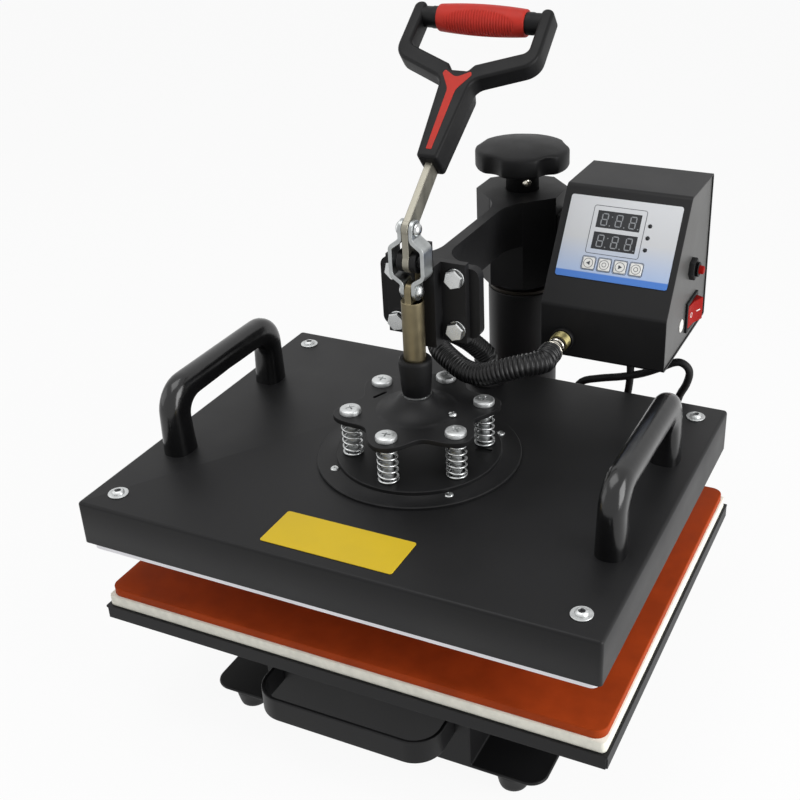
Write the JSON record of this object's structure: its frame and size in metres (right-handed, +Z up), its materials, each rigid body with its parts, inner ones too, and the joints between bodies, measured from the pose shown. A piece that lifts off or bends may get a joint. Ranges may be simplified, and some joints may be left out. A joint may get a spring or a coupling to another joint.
{
  "type": "swing-away heat press",
  "caption": "Bench heat press: sprung heater head on a toggle lever and swing-away arm over a padded table, with a control box beside the arm.",
  "frame": {"origin": "on the floor, at the middle of the press's outline without its mains lead", "axes": "+X to the operator's right, +Y to the back, +Z up"},
  "size_m": [0.404, 0.561, 0.5126],
  "materials": {
    "black_coat": "satin black powder coat",
    "grey_coat": "satin dark grey powder coat",
    "rubber": "matte black rubber",
    "cord_jacket": "satin black jacket",
    "felt": "off-white felt",
    "silicone": "rust-red silicone sponge",
    "bronze": "turned bronze",
    "bright_steel": "bright zinc-plated steel",
    "zinc": "dull zinc-plated steel",
    "yellow_zinc": "yellow zinc-plated steel",
    "black_plastic": "matte black plastic",
    "gloss_black": "gloss black plastic",
    "red_plastic": "red plastic",
    "label_film": "printed label film",
    "key_caps": "light grey keys",
    "heater_cast": "cast aluminium with a pale edge",
    "yellow_plate": "plain yellow plate"
  },
  "bodies": {
    "base": {"base_frame": "black_coat", "rubber_feet": "rubber", "pull_handle": "black_coat", "table_rails": "black_coat", "lower_tray": "black_coat", "felt_pad": "felt", "silicone_pad": "silicone", "column": "black_coat", "mains_coil": "cord_jacket", "mains_lead": "cord_jacket", "mains_plug": "cord_jacket"},
    "swing": {"thrust_washer": "bronze", "swing_sleeve": "bright_steel"},
    "arm": {"swing_arm": "black_coat", "guide_block": "black_coat", "bracket_bolts": "zinc", "pivot_pin": "bright_steel", "box_bracket": "black_coat", "box_shell": "black_coat", "box_end_plates": "grey_coat", "face_label": "label_film", "display_module": "black_plastic", "circuit_board": "black_plastic", "relay_block": "black_plastic", "rocker_bezel": "black_plastic", "reset_bushing": "black_plastic", "hose_socket": "yellow_zinc", "cord_gland": "cord_jacket", "heater_hose": "cord_jacket"},
    "knob": {"pressure_knob": "black_plastic", "knob_spindle": "bright_steel"},
    "lever": {"lever_bar": "zinc", "handle_yoke": "black_plastic", "handle_grip": "red_plastic", "handle_inlay": "red_plastic", "link_pin": "bright_steel"},
    "links": {"link_straps": "zinc", "strap_rivets": "bright_steel"},
    "head": {"push_rod": "yellow_zinc", "rod_collar": "black_plastic", "star_plate": "black_coat"},
    "platen": {"platen_cover": "black_coat", "cover_screws": "bright_steel", "lift_handles": "gloss_black", "spring_seat": "black_coat", "spring_screws": "bright_steel", "springs": "bright_steel", "heater_platen": "heater_cast", "heating_tube": "zinc", "insulation": "felt", "hose_gland": "black_plastic", "plain_plate": "yellow_plate"},
    "key_down": {"key_down": "key_caps"},
    "key_set": {"key_set": "key_caps"},
    "key_up": {"key_up": "key_caps"},
    "key_start": {"key_start": "key_caps"},
    "rocker": {"rocker_switch": "red_plastic"},
    "reset": {"reset_button": "red_plastic"}
  },
  "joints": [
    {"name": "arm_swing", "type": "hinge", "parent": "base", "child": "swing", "pos_m": [0, 0.161, 0], "axis": [0, 0, 1], "range_deg": [0, 90], "deforming": ["mains_lead"]},
    {"name": "height_slide", "type": "slide", "parent": "swing", "child": "arm", "axis": [0, 0, 1], "range_m": [-0.004, 0.004], "deforming": ["mains_lead"]},
    {"name": "knob_turn", "type": "hinge", "parent": "swing", "child": "knob", "pos_m": [0, 0.161, 0], "axis": [0, 0, 1], "range_deg": [-360, 360]},
    {"name": "lever_pull", "type": "hinge", "parent": "arm", "child": "lever", "pos_m": [0, -0.047, 0.361], "axis": [1, 0, 0], "range_deg": [0, 140]},
    {"name": "link_turn", "type": "hinge", "parent": "lever", "child": "links", "pos_m": [0, -0.047, 0.385], "axis": [1, 0, 0], "range_deg": [-120.7, 0]},
    {"name": "press_slide", "type": "slide", "parent": "arm", "child": "head", "axis": [0, 0, -1], "range_m": [0, 0.03976], "deforming": ["heater_hose"]},
    {"name": "platen_float", "type": "slide", "parent": "head", "child": "platen", "axis": [0, 0, 1], "range_m": [0, 0.008], "stiffness_N_per_m": 30000, "springref_m": -0.004, "deforming": ["springs", "heater_hose"]},
    {"name": "key_down_press", "type": "slide", "parent": "arm", "child": "key_down", "axis": [0, 0.8158, -0.5783], "range_m": [0, 0.0006], "stiffness_N_per_m": 800},
    {"name": "key_set_press", "type": "slide", "parent": "arm", "child": "key_set", "axis": [0, 0.8158, -0.5783], "range_m": [0, 0.0006], "stiffness_N_per_m": 800},
    {"name": "key_up_press", "type": "slide", "parent": "arm", "child": "key_up", "axis": [0, 0.8158, -0.5783], "range_m": [0, 0.0006], "stiffness_N_per_m": 800},
    {"name": "key_start_press", "type": "slide", "parent": "arm", "child": "key_start", "axis": [0, 0.8158, -0.5783], "range_m": [0, 0.0006], "stiffness_N_per_m": 800},
    {"name": "rocker_tip", "type": "hinge", "parent": "arm", "child": "rocker", "pos_m": [0.159, 0.1265, 0.2755], "axis": [0, 0, 1], "range_deg": [0, 26]},
    {"name": "reset_press", "type": "slide", "parent": "arm", "child": "reset", "axis": [-1, 0, 0], "range_m": [0, 0.003], "stiffness_N_per_m": 300}
  ],
  "couplings": [
    {"joint": "knob_turn", "follows": "height_slide", "rad_per_m": 1570.8},
    {"joint": "link_turn", "follows": "lever_pull", "ratio": -0.8616},
    {"joint": "press_slide", "follows": "lever_pull", "m_per_rad": 0.016269}
  ]
}
